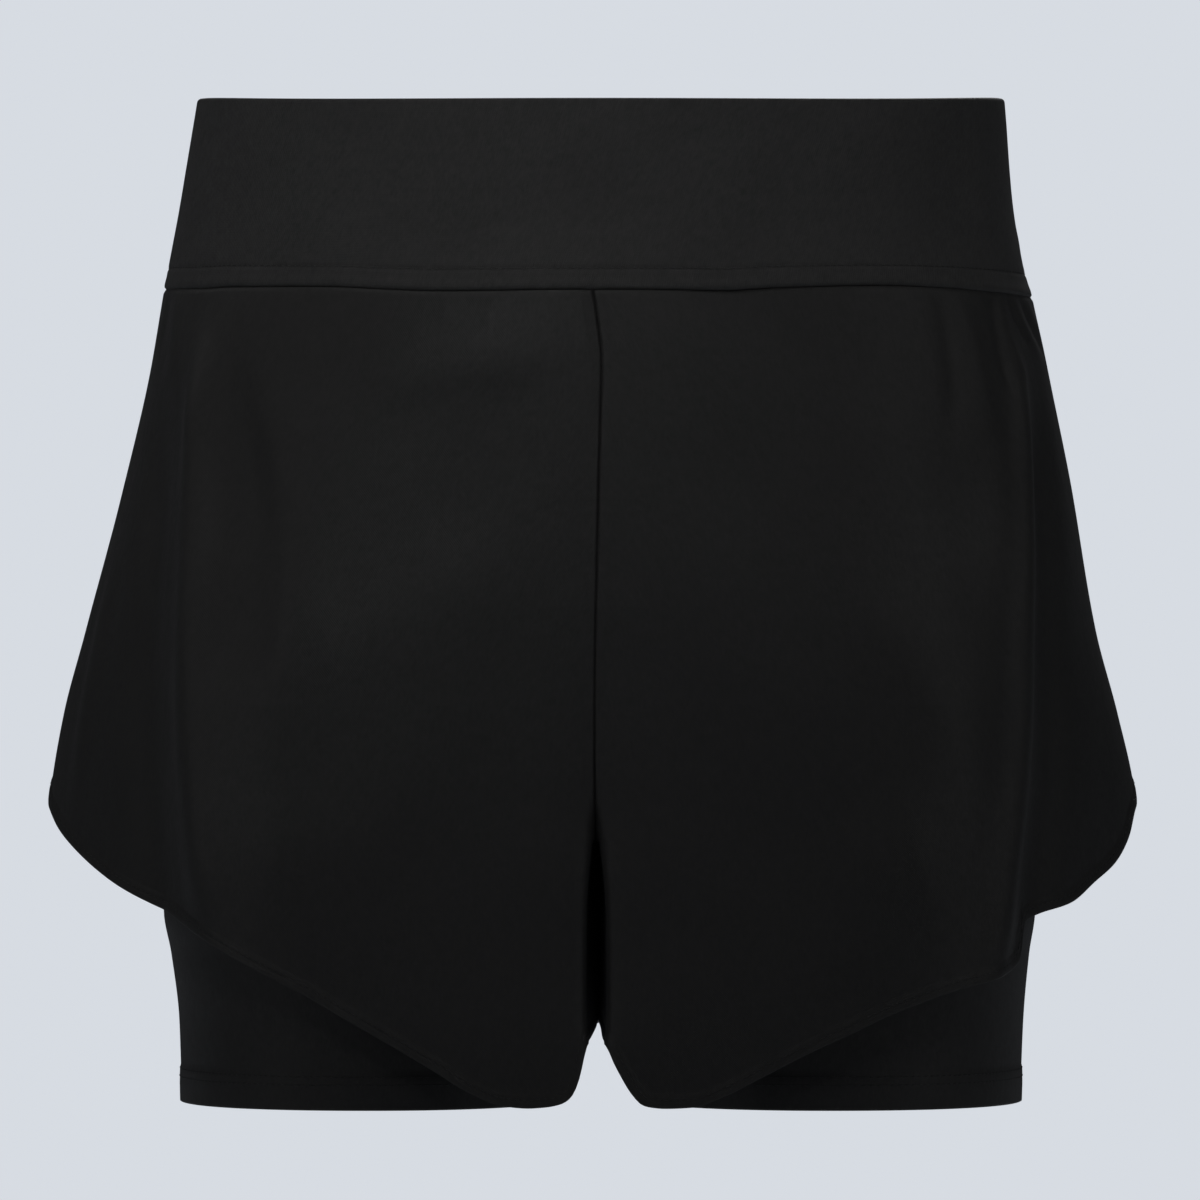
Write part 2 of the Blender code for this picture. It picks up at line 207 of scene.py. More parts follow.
def graded(count, first=1.0, last=1.0, over=9.0):
    """0 to 1 in a number of steps. The first and last are these shares of the middle ones."""
    k = np.arange(count)
    steps = 1 - (1 - first) * np.exp(-k / over) - (1 - last) * np.exp(-(count - 1 - k) / over)
    return np.concatenate([[0.0], np.cumsum(steps)]) / steps.sum()


def oval(sections, side, face, drop, angle, fork, gap):
    """A layer's half section: an oval cut off at the centre seam, whose cut closes as it forks."""
    square = table_value(SECTION, sections, "square", drop)
    reach = table_value(SECTION, sections, side, drop)
    depth = table_value(SECTION, sections, face, drop)
    radius = (reach - gap) / (1 + fork)
    centre = gap + fork * radius
    centre_square = table_value(SECTION, sections, face + "_square", drop)
    angle = angle * np.arccos(-(fork ** (centre_square / 2)))
    bend = 2 / np.where(angle < math.pi / 2, square, centre_square)
    cos, sin = np.cos(angle), np.sin(angle)
    return centre + radius * np.sign(cos) * np.abs(cos) ** bend, depth * np.abs(sin) ** bend, angle


class Form:
    """Half a layer's worn form, read at any share of the way round and any drop."""

    SHARES = 241  # at which each level is kept
    TRACE = 500  # points that a level is measured with
    CREASE_SHARE = 0.5  # at half the section's reach, the middle of the thigh
    # Where the shell bends round to the inner leg: two insets from its inner edge, then a run.
    BEND_SHARES = (0.85, 0.88, 0.95)
    BEND_INSETS = (0.012, 0.006)
    BEND_RUN = 0.010
    JOINED = 0.03  # the share next to the centre seam in which creases fade out
    STEP = 1.2  # over which the form's direction is measured, in kept shares

    def __init__(self, side, face, drop, section, bends=False):
        """section(side, face, drop, angle) gives x and y for a column of drops, a row of angles."""
        self.side, self.face, self.drop = side, face, drop
        x, y = section(side, face, drop[:, None], np.linspace(0, 1, self.TRACE)[None, :])
        step = np.hypot(np.diff(x, axis=1), np.diff(y, axis=1))
        round_it = np.concatenate([np.zeros((len(drop), 1)), np.cumsum(step, axis=1)], axis=1)
        share = np.linspace(0, 1, self.SHARES)
        self.x, self.y, self.around = (np.zeros((len(drop), self.SHARES)) for _ in range(3))
        for k in range(len(drop)):
            marks = [(0, 0), (self.CREASE_SHARE, np.interp(-x[k, 0] / 2, -x[k], round_it[k]))]
            if bends:
                at = [np.interp(-x[k, -1] - i, -x[k], round_it[k]) for i in self.BEND_INSETS]
                at.append(at[1] + min(self.BEND_RUN, (round_it[k, -1] - at[1]) / 2))
                marks.extend(zip(self.BEND_SHARES, at))
            at = np.interp(share, *zip(*marks, (1, round_it[k, -1])))
            self.x[k] = np.interp(at, round_it[k], x[k])
            self.y[k] = np.interp(at, round_it[k], y[k])
            self.around[k] = at

    def read(self, layer, share, drop):
        """A stored layer's value between its levels and shares."""
        b = np.clip(share, 0, 1) * (self.SHARES - 1)
        i = np.clip(np.searchsorted(self.drop, drop, side="right") - 1, 0, len(self.drop) - 2)
        j = np.minimum(b.astype(int), self.SHARES - 2)
        a, b = (drop - self.drop[i]) / (self.drop[i + 1] - self.drop[i]), b - j
        low = layer[i, j] * (1 - b) + layer[i, j + 1] * b
        return low * (1 - a) + (layer[i + 1, j] * (1 - b) + layer[i + 1, j + 1] * b) * a

    def place(self, share, drop, height):
        """Points in space on the form, moved out across it by a height."""
        x, y = self.read(self.x, share, drop), self.read(self.y, share, drop)
        near = self.STEP / (self.SHARES - 1)
        low, high = np.clip(share - near, 0, 1), np.clip(share + near, 0, 1)
        along = [self.read(c, high, drop) - self.read(c, low, drop) for c in (self.x, self.y)]
        length = np.maximum(np.hypot(*along), 1e-9)
        free = eased((1 - share) / self.JOINED)  # the two sides stay joined at the centre
        x, y = x + free * height * along[1] / length, y - height * along[0] / length
        tilt = (1 - eased((drop - BAND_HEIGHT) / (TILT_ENDS - BAND_HEIGHT))) * eased(y / TILT_DEPTH)
        sign, lower = (-1, FRONT_DIP) if self.face == "front" else (1, -BACK_RISE)
        x = WEARER[self.side] * x
        sway = table_value(WAIST_LINE, WAIST_LINES, self.face, x)
        sway = sway * bell(drop - BAND_HEIGHT, WAIST_LINE_REACH)
        if self.face == "front":
            stray = table_value(CENTRE_LINE, CENTRE_LINES, "front", drop)
            stray = stray * (drop > BAND_HEIGHT + SEAM / 2) * bell(x, CENTRE_LINE_REACH)
            x = x + stray * eased((y - CENTRE_LINE_STARTS) / CENTRE_LINE_FADE)
        return np.stack([x, sign * y, -drop - lower * tilt - sway], axis=-1)


def crease_height(creases, around, drop):
    """How far a piece's creases move its cloth out."""
    height = np.zeros(np.broadcast(around, drop).shape)
    for row in creases:
        c = dict(zip(CREASE, row))
        run = np.array([c["to_around"] - c["around"], c["to_drop"] - c["drop"]])
        length = np.hypot(*run)
        run /= length
        a, d = around - c["around"], drop - c["drop"]
        t = (a * run[0] + d * run[1]) / length
        off = a * run[1] - d * run[0] - c["bow"] * 4 * t * (1 - t)
        fade = eased((t + CREASE_OVERRUN) / CREASE_EASE)
        fade = fade * eased((1 + CREASE_OVERRUN - t) / CREASE_EASE)
        height += c["height"] * fade * bell(off, c["half_width"])
    return height


def unevenness(across, down, seed, size, height):
    """The slight unevenness that all cloth has: a sum of soft waves of about one size."""
    rng = np.random.default_rng(seed)
    total = np.zeros(np.broadcast(across, down).shape)
    for _ in range(WAVES):
        turn, phase = rng.uniform(0, math.pi), rng.uniform(0, 2 * math.pi)
        grow = rng.uniform(*WAVE_SIZES)
        along = across * math.cos(turn) + down * math.sin(turn)
        total += np.sin(along * 2 * math.pi / (size * grow) + phase)
    return height * total / math.sqrt(WAVES)


def surface_normals(points, outward_from):
    """Unit normals of a grid of points, facing away from a vertical line through a point."""
    normal = np.cross(np.gradient(points, axis=0), np.gradient(points, axis=1))
    normal /= np.maximum(np.linalg.norm(normal, axis=-1, keepdims=True), 1e-12)
    away = points - np.array(outward_from)
    return normal * np.sign(np.median((normal * away)[..., :2].sum(axis=-1)))


def cloth(name, outer, inner, across, down, edge, material):
    """A closed sheet of cloth: a grid laid through the inner points and drawn out to the outer
    ones. Its UV map is in metres of cloth, and a second one holds the distance to the hem."""
    columns, rows = outer.shape[0] - 1, outer.shape[1] - 1
    bm = bmesh.new()
    bmesh.ops.create_grid(bm, x_segments=columns, y_segments=rows, size=0.5)
    place = bm.verts.layers.int.new("place")
    for v in bm.verts:
        v[place] = round((v.co.x + 0.5) * columns) * (rows + 1) + round((v.co.y + 0.5) * rows)
        v.co = inner.reshape(-1, 3)[v[place]]
    cut, hem = bm.loops.layers.uv.new("Cut"), bm.loops.layers.uv.new("Hem")
    across, down, edge = (np.broadcast_to(a, outer.shape[:2]).ravel() for a in (across, down, edge))
    for face in bm.faces:
        for loop in face.loops:
            k = loop.vert[place]
            loop[cut].uv = (across[k], down[k])
            loop[hem].uv = (edge[k], 0.0)
    drawn = bmesh.ops.extrude_face_region(bm, geom=bm.faces[:])
    for v in drawn["geom"]:
        if isinstance(v, bmesh.types.BMVert):
            v.co = outer.reshape(-1, 3)[v[place]]
    bmesh.ops.recalc_face_normals(bm, faces=bm.faces[:])
    for face in bm.faces:
        face.smooth = True
    mesh = bpy.data.meshes.new(name)
    bm.to_mesh(mesh)
    bm.free()
    mesh.materials.append(material)
    piece = bpy.data.objects.new(name, mesh)
    bpy.context.scene.collection.objects.link(piece)
    return piece


def line_at(points, values, level):
    """The line across a grid of points where values, which falls down every column, is a level."""
    line = []
    for column, value in zip(points, values):
        order = np.argsort(value)
        line.append([np.interp(level, value[order], column[order, k]) for k in range(3)])
    return np.array(line)


def stitching(name, host, lines, pitch, material):
    """Rows of stitches on a piece of cloth, each a short thread that sinks in at its ends."""
    shows = (0.12, 0.88)  # the part of each pitch that lies on the cloth
    shortest = 0.2  # the share of a pitch under which a stitch is left out
    mesh = host.data
    tree = BVHTree.FromPolygons([v.co for v in mesh.vertices], [p.vertices for p in mesh.polygons])
    bm, one = bmesh.new(), bpy.data.meshes.new("one_stitch")
    for line in lines:
        at = np.concatenate([[0.0], np.cumsum(np.linalg.norm(np.diff(line, axis=0), axis=1))])
        for k in range(int(at[-1] / pitch)):
            ends = [[np.interp((k + e) * pitch, at, line[:, c]) for c in range(3)] for e in shows]
            start, end = np.array(ends)
            along = Vector(end - start)
            spot, normal, _, _ = tree.find_nearest(Vector((start + end) / 2))
            if spot is None or along.length < pitch * shortest:
                continue
            side = normal.cross(along).normalized()
            turn = Matrix((along.normalized(), side, normal)).transposed().to_4x4()
            size = Matrix.Diagonal((along.length / 2, THREAD, THREAD * THREAD_FLATNESS, 1))
            place = Matrix.Translation(spot + normal * THREAD * THREAD_LIFT) @ turn @ size
            stitch = bmesh.new()
            bmesh.ops.create_uvsphere(stitch, u_segments=6, v_segments=4, radius=1.0, matrix=place)
            stitch.to_mesh(one)
            stitch.free()
            bm.from_mesh(one)
    for face in bm.faces:
        face.smooth = True
    made = bpy.data.meshes.new(name)
    bm.to_mesh(made)
    bm.free()
    made.materials.append(material)
    piece = bpy.data.objects.new(name, made)
    bpy.context.scene.collection.objects.link(piece)
    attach(piece, "root")
    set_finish(piece, host["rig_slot"])
    return piece


def node_maker(tree):
    """Adds nodes to a tree: a kind, what its inputs take, and its fixed settings."""

    def add(kind, inputs, **settings):
        node = tree.nodes.new("ShaderNode" + kind)
        for name, value in settings.items():
            setattr(node, name, value)
        for key, value in inputs.items():
            if isinstance(value, bpy.types.NodeSocket):
                tree.links.new(value, node.inputs[key])
            else:
                node.inputs[key].default_value = value
        return node.outputs

    return add


# The unevenness of a cloth: its size in metres, its detail, its roughness and its stretch.
CLOTH_NOISES = {
    "broad": (0.035, 2.0, 0.5, (1.0, 1.0, 1.0)),
    "fine": (0.0036, 4.0, 0.75, (1.0, 0.7, 1.0)),
    "yarn": (0.0009, 2.0, 0.6, (1.0, 0.35, 1.0)),
    "crinkles": (0.011, 3.0, 0.55, (1.0, 0.6, 1.0)),
}
# Shares of a cloth's tone. The threads' share is painted shade, darker between the threads.
TONE_AND_SHADE_SHARES = {"broad": 0.30, "fine": 0.75, "yarn": 0.65, "threads": 0.22}
TONE_LEVEL = 0.45  # taken off the sum of those shares
TONE_RANGE = (0.25, 0.75)  # from a cloth's darkest colour to its lightest
SHINE_RANGE = (0.10, 0.90)  # and from its roughest spots to its smoothest
KNIT_COURSES = 1.3  # rows of loops down a knit for one rib across it
KNIT_ROUNDING = 0.6  # a lower power makes its ribs fuller
KNIT_LOOPS = 0.45  # the loops' share of its relief
# Cloth is lighter at its hems and the band's foot: a little wear, and painted highlight there.
WEAR_AND_HIGHLIGHT_WIDTH = 0.0016  # how far from its edge a cloth is painted lighter
WEAR_AND_HIGHLIGHT_PATCHES = (1.3, -0.15)  # what the fine unevenness is multiplied by there, and what is added


def cloth_structure():
    """A node group that every cloth shares: its threads' relief, from plain weave (Loops 0) to
    knitted ribs of leaning loops (Loops 1), its unevenness of tone with painted shade between
    the threads, and its lighter edge: a little wear, and painted highlight."""
    tree = bpy.data.node_groups.new("cloth_structure", "ShaderNodeTree")
    sockets = (("Cut", "Vector"), ("Edge", "Float"), ("Pitch", "Float"), ("Loops", "Float"))
    for name, kind in sockets:
        tree.interface.new_socket(name, in_out="INPUT", socket_type="NodeSocket" + kind)
    for name in ("Tone_and_shade", "Wear_and_highlight", "Threads", "Crinkles"):
        tree.interface.new_socket(name, in_out="OUTPUT", socket_type="NodeSocketFloat")
    given, add = tree.nodes.new("NodeGroupInput").outputs, node_maker(tree)

    def maths(operation, *values):
        return add("Math", dict(enumerate(values)), operation=operation)[0]

    def noise(name):
        size, detail, rough, stretch = CLOTH_NOISES[name]
        place = add("VectorMath", {0: given["Cut"], 1: stretch}, operation="MULTIPLY")[0]
        inputs = {"Vector": place, "Scale": 1 / size, "Detail": detail, "Roughness": rough}
        return add("TexNoise", inputs)[0]

    cut = add("SeparateXYZ", {0: given["Cut"]})
    u, v = (maths("DIVIDE", cut[k], given["Pitch"]) for k in (0, 1))
    lean = maths("MULTIPLY", maths("PINGPONG", u, 0.5), given["Loops"])
    rib = maths("ABSOLUTE", maths("SINE", maths("MULTIPLY", u, math.pi)))
    course = maths("MULTIPLY", maths("ADD", v, lean), math.pi * KNIT_COURSES)
    loop = maths("ABSOLUTE", maths("SINE", course))
    loop = maths("MULTIPLY_ADD", loop, KNIT_LOOPS, 1 - KNIT_LOOPS)
    knit = maths("MULTIPLY", maths("POWER", rib, KNIT_ROUNDING), loop)
    over = maths("SINE", maths("MULTIPLY", u, math.pi))
    under = maths("SINE", maths("MULTIPLY", v, math.pi))
    weave = maths("MULTIPLY_ADD", maths("MULTIPLY", over, under), 0.5, 0.5)
    threads = add("Mix", {0: given["Loops"], 2: weave, 3: knit}, data_type="FLOAT")[0]
    broad, fine, yarn = noise("broad"), noise("fine"), noise("yarn")
    tone = maths("MULTIPLY", yarn, TONE_AND_SHADE_SHARES["yarn"])
    tone = maths("MULTIPLY_ADD", fine, TONE_AND_SHADE_SHARES["fine"], tone)
    tone = maths("MULTIPLY_ADD", broad, TONE_AND_SHADE_SHARES["broad"], tone)
    tone = maths("SUBTRACT", tone, TONE_LEVEL)
    # Painted shade: the tone follows the threads' relief, darker in the hollows between them.
    tone = maths("MULTIPLY_ADD", threads, TONE_AND_SHADE_SHARES["threads"], tone)
    # Painted highlight, with a little wear: lighter patches along the edge.
    from_edge = {0: given["Edge"], 1: 0.0, 2: WEAR_AND_HIGHLIGHT_WIDTH, 3: 1.0, 4: 0.0}
    near = add("MapRange", from_edge, interpolation_type="SMOOTHSTEP")[0]
    wear_and_highlight = maths("MULTIPLY", near, maths("MULTIPLY_ADD", fine, *WEAR_AND_HIGHLIGHT_PATCHES))
    made = {"Tone_and_shade": tone, "Wear_and_highlight": wear_and_highlight, "Threads": threads, "Crinkles": noise("crinkles")}
    end = tree.nodes.new("NodeGroupOutput")
    for name, value in made.items():
        tree.links.new(value, end.inputs[name])
    return tree


def new_material(name):
    """A material, its shader, and what adds nodes to it."""
    material = bpy.data.materials.new(name)
    material.use_nodes = True
    shader = material.node_tree.nodes["Principled BSDF"]
    shader.inputs["Specular IOR Level"].default_value = 0.25
    return material, shader, node_maker(material.node_tree)


def cloth_material(name, dark, light, worn_and_highlit, rough, pitch, loops, relief, crinkle, sheen):
    """A cloth out of the shared structure: its darkest and lightest colours, its edge colour (a
    little wear, and painted highlight), its least and greatest roughness, thread pitch and
    relief, crinkle height, and its soft sheen."""
    material, shader, add = new_material(name)
    place = add("UVMap", {}, uv_map="Cut")[0]
    edge = add("SeparateXYZ", {0: add("UVMap", {}, uv_map="Hem")[0]})[0]
    look = add("Group", {}, node_tree=structure)
    group = look[0].node
    for key, value in (("Cut", place), ("Edge", edge)):
        material.node_tree.links.new(value, group.inputs[key])
    group.inputs["Pitch"].default_value = pitch
    group.inputs["Loops"].default_value = loops
    # The colour follows the tone, and with it the painted shade between the threads.
    tones = dict(enumerate((look["Tone_and_shade"], *TONE_RANGE, 0.0, 1.0)))
    ramp = add("MapRange", tones)[0]
    colour = add("Mix", {0: ramp, 6: (*dark, 1.0), 7: (*light, 1.0)}, data_type="RGBA")[2]
    # The edge colour: painted highlight and a little wear.
    colour = add("Mix", {0: look["Wear_and_highlight"], 6: colour, 7: (*worn_and_highlit, 1.0)}, data_type="RGBA")[2]
    shine = dict(enumerate((look["Tone_and_shade"], *SHINE_RANGE, rough[1], rough[0])))
    roughness = add("MapRange", shine)[0]
    soft = add("Bump", {"Strength": 0.6, "Distance": crinkle, "Height": look["Crinkles"]})[0]
    raised = {"Strength": 0.5, "Distance": relief, "Height": look["Threads"], "Normal": soft}
    bump = add("Bump", raised)[0]
    for key, value in (("Base Color", colour), ("Roughness", roughness), ("Normal", bump)):
        material.node_tree.links.new(value, shader.inputs[key])
    shader.inputs["Sheen Weight"].default_value = sheen
    shader.inputs["Sheen Roughness"].default_value = 0.55
    shader.inputs["Sheen Tint"].default_value = (0.5, 0.5, 0.53, 1.0)
    return material


def thread_material():
    """Twisted polyester sewing thread, with a little more shine than the cloth."""
    material, shader, add = new_material("thread")
    dark, light = (0.009, 0.009, 0.0095, 1.0), (0.018, 0.018, 0.0185, 1.0)
    waves = {"Vector": add("TexCoord", {})["Object"], "Scale": 900.0, "Distortion": 1.5}
    twist = add("TexWave", waves, bands_direction="DIAGONAL")[1]
    tone = add("Mix", {0: twist, 6: dark, 7: light}, data_type="RGBA")[2]
    bump = add("Bump", {"Strength": 0.4, "Distance": 0.00005, "Height": twist})[0]
    material.node_tree.links.new(tone, shader.inputs["Base Color"])
    material.node_tree.links.new(bump, shader.inputs["Normal"])
    shader.inputs["Roughness"].default_value = 0.5
    return material


def band_section(side, face, drop, angle):
    """The waistband's section, as Form reads it."""
    x, y, _ = oval(BAND_SECTIONS, side, face, drop, angle, 0.0 * drop, 0.0)
    return x, y


def waistband_half(face, material):
    """The band's front or back half, out of its two sides' forms."""
    down = BAND_HEIGHT * graded(*BAND_STEPS["down"])
    sides = []
    for side in ("right", "left"):
        form = Form(side, face, np.linspace(0.0, BAND_HEIGHT, BAND_LEVELS), band_section)
        s, d = np.meshgrid(graded(*BAND_STEPS["round"]), down, indexing="ij")
        around = form.read(form.around, s, d)
        height = crease_height(BAND_CREASES[face][side], around, d)
        height += unevenness(around, d, BAND_SEED + len(side + face), *BAND_UNEVENNESS)
        height *= creasing(s, d)
        height += crossing_edges(around, d)
        part = [form.place(s, d, height), around, d]
        sides.append(part if side == "right" else [a[::-1] for a in part])
    right, left = sides
    width = right[1][-1:].copy()
    outer = np.concatenate([right[0], left[0][1:]])
    across = np.concatenate([right[1], 2 * width - left[1][1:]])
    drop = np.concatenate([right[2], left[2][1:]])
    normal = surface_normals(outer, (0, 0, 0))
    curl = BAND_FOLD - np.sqrt(np.maximum(BAND_FOLD**2 - np.maximum(BAND_FOLD - drop, 0) ** 2, 0))
    foot = BAND_FOOT[0] * (1 - eased((BAND_HEIGHT - drop) / BAND_FOOT[1]))
    inner = outer - normal * (BAND_WALL - curl)[..., None]
    outer = outer - normal * (curl + foot)[..., None]
    up = BAND_HEIGHT - drop
    piece = cloth(f"cloth_waistband_{face}", outer, inner, across, drop, up, material)
    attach(piece, "root")
    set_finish(piece, "band_jersey")
    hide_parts(f"waistband_{face}")
    rows = [line_at(outer, up, BAND_STITCH)]
    name = f"stitching_waistband_{face}"
    topstitch = stitching(name, piece, rows, BAND_STITCH_PITCH, thread)
    width, length, area = BAND_CUT[face]
    return piece


def creasing(share, drop):
    """How freely the band creases: not at its sides and its fold, and less over its lower seam."""
    side = eased((share - BAND_HELD_SIDE[0]) / BAND_HELD_SIDE[1])
    foot = eased((drop - BAND_HELD_FOOT[0]) / BAND_HELD_FOOT[1])
    return side * eased(drop / BAND_HELD_TOP) * (1 - BAND_FOOT_HOLD * foot)


def crossing_edges(around, drop):
    """The band draws in at its side seams and along its topstitching, and is full at its foot."""
    up = BAND_HEIGHT - drop
    drawn_in = groove(BAND_SIDE_SEAM, around) + groove(BAND_ROW, up - BAND_STITCH)
    return groove(BAND_FULLNESS, up - BAND_FULLNESS_AT) - drawn_in


structure = cloth_structure()
thread = thread_material()
band_cloth = cloth_material(
    "band_jersey",
    dark=(0.0112, 0.0110, 0.0108),
    light=(0.0254, 0.0250, 0.0246),
    # the edge colour: painted highlight and a little wear
    worn_and_highlit=(0.0304, 0.0300, 0.0295),
    rough=(0.56, 0.70),
    pitch=0.00085,
    loops=1.0,
    relief=0.00018,
    crinkle=0.00025,
    sheen=0.03,
)
for face in ("front", "back"):
    waistband_half(face, band_cloth)

# ------------------------------------------------------------------ outer shell
# The real shell is a light plain-woven cloth, cut as two front and two back panels with seams
# down the centre, the sides and the inner legs. It flares over the hips into a rounded corner
# at each side, and is finished with a narrow turned hem.

SHELL_WALL = 0.0008
HEM_WIDTH = 0.0042
HEM_RAISE = 0.0006  # how far the turned edge lifts the cloth
HEM_RAISE_ENDS = 0.0046  # how far up from the hem that shows
HEM_STEP = 0.0009  # over which it levels out
HEM_STITCH = 0.0030  # the stitches' distance from the edge
HEM_STITCH_PITCH = 0.0026
SHELL_CROTCH = 0.2760
VENT_DROP = 0.2590  # the widest point of the side, where the rounded hem corner starts
FORK_STARTS = 0.1400  # drop at which the trunk starts to part into two legs
SHELL_SECTIONS = (
    (0.0720, 0.1628, 0.1623, 0.1128, 0.1178, 2.12, 2.12, 2.12),
    (0.1000, 0.1640, 0.1643, 0.1150, 0.1250, 2.40, 2.30, 2.25),
    (0.1500, 0.1650, 0.1656, 0.1174, 0.1345, 2.90, 3.00, 2.50),
    (0.2000, 0.1655, 0.1655, 0.1184, 0.1385, 3.20, 4.30, 2.80),
    (0.2590, 0.1655, 0.1655, 0.1176, 0.1365, 3.30, 6.00, 3.50),
    (0.3100, 0.1650, 0.1652, 0.1166, 0.1320, 3.30, 6.60, 3.80),
    (0.3800, 0.1645, 0.1650, 0.1160, 0.1280, 3.20, 6.80, 3.80),
)
FLARE = ("drop", "right", "left")  # how far the side stands out from its section
SHELL_FLARES = (
    (0.0720, 0.0000, 0.0000),
    (0.1000, 0.0038, 0.0038),
    (0.1500, 0.0144, 0.0124),
    (0.2000, 0.0272, 0.0210),
    (0.2300, 0.0352, 0.0290),
    (0.2590, 0.0402, 0.0354),
    (0.3100, 0.0450, 0.0400),
    (0.3800, 0.0480, 0.0430),
)
FLARE_REACH = math.radians(48)  # the flare fades out this far round the section
FLARE_POINT = 2.6  # a higher power draws the flare out to a sharper edge
SLIT_WIDTH = 0.0034  # half the space that shows between the legs at the front
SLIT_STARTS = 0.2590
SLIT_FADE = 0.0410
SLIT_DEPTH = 0.0500  # how far back the slit closes
SLIT_SQUARE = 0.16  # how little of the oval's rounding is left beside the slit
SQUARE_STARTS = 0.1600
SQUARE_FADE = 0.1000
# Half the space between a layer's two legs, below its crotch.
GAP = ("below_crotch", "shell", "inner")
LEG_GAPS = (
    (0.0000, 0.0000, 0.0000),
    (0.0060, 0.0000, 0.0030),
    (0.0300, 0.0000, 0.0072),
    (0.0700, 0.0000, 0.0118),
    (0.1120, 0.0001, 0.0160),
)
# The hem's drop, from the side seam (share 0) to the inner leg seam (1) of a panel.
HEM = ("share", "right", "left")
SHELL_HEM = (
    (0.000, VENT_DROP, VENT_DROP),
    (0.010, 0.2634, 0.2632),
    (0.030, 0.2674, 0.2672),
    (0.060, 0.2735, 0.2768),
    (0.100, 0.2802, 0.2857),
    (0.150, 0.2877, 0.2925),
    (0.200, 0.2941, 0.2996),
    (0.260, 0.3002, 0.3036),
    (0.290, 0.3024, 0.3065),
    (0.310, 0.3045, 0.3200),
    (0.350, 0.3091, 0.3250),
    (0.430, 0.3214, 0.3318),
    (0.531, 0.3378, 0.3444),
    (0.614, 0.3505, 0.3545),
    (0.669, 0.3592, 0.3620),
    (0.724, 0.3680, 0.3692),
    (0.765, 0.3722, 0.3728),
    (0.802, 0.3731, 0.3732),
    (0.817, 0.3729, 0.3729),
    (0.832, 0.3725, 0.3720),
    (0.839, 0.3721, 0.3705),
    (0.846, 0.3716, 0.3683),
    (0.853, 0.3708, 0.3659),
    (0.860, 0.3697, 0.3634),
    (0.868, 0.3674, 0.3603),
    (0.875, 0.3639, 0.3576),
    (0.882, 0.3592, 0.3547),
    (0.893, 0.3530, 0.3517),
    (0.905, 0.3502, 0.3503),
    (0.960, 0.3492, 0.3494),
    (0.982, 0.3462, 0.3462),
    (1.000, 0.3422, 0.3425),
)
# The largest folds: ridges stand out and troughs go in. Each is placed and measured in shares of
# a panel's width, starts and ends over its fade, and moves sideways by its drift going down.
FOLD = ("share", "half_width", "depth", "starts", "ends", "fade", "drift")
SHELL_FOLDS = {
    "front": {
        "left": (
            (0.170, 0.026, 0.0040, 0.0800, 0.3500, 0.0450, 0.2150),
            (0.112, 0.040, -0.0044, 0.0900, 0.3400, 0.0600, 0.1900),
            (0.240, 0.030, 0.0012, 0.0950, 0.2100, 0.0500, 0.0600),
            (0.345, 0.050, -0.0018, 0.0950, 0.1900, 0.0450, 0.0400),
        ),
        "right": (
            (0.222, 0.030, 0.0038, 0.0780, 0.3250, 0.0450, 0.1650),
            (0.144, 0.042, -0.0038, 0.1000, 0.3300, 0.0600, 0.1450),
            (0.285, 0.046, -0.0030, 0.0900, 0.2450, 0.0600, 0.1100),
            (0.440, 0.060, 0.0012, 0.1100, 0.2600, 0.0700, 0.0300),
        ),
    },
    "back": {
        "left": (
            (0.180, 0.032, 0.0030, 0.0900, 0.3400, 0.0600, 0.1500),
            (0.120, 0.042, -0.0026, 0.1000, 0.3300, 0.0600, 0.1500),
            (0.330, 0.050, -0.0022, 0.1500, 0.3000, 0.0600, 0.0600),
        ),
        "right": (
            (0.210, 0.034, 0.0032, 0.0850, 0.3400, 0.0600, 0.1300),
            (0.140, 0.042, -0.0030, 0.1000, 0.3300, 0.0600, 0.1400),
            (0.350, 0.050, -0.0024, 0.1400, 0.3100, 0.0600, 0.0500),
        ),
    },
}
SHELL_CUT = {
    "front": {"left": (0.3584, 0.3013, 0.0720), "right": (0.3608, 0.3012, 0.0707)},
    "back": {"left": (0.3886, 0.3013, 0.0783), "right": (0.3907, 0.3012, 0.0775)},
}
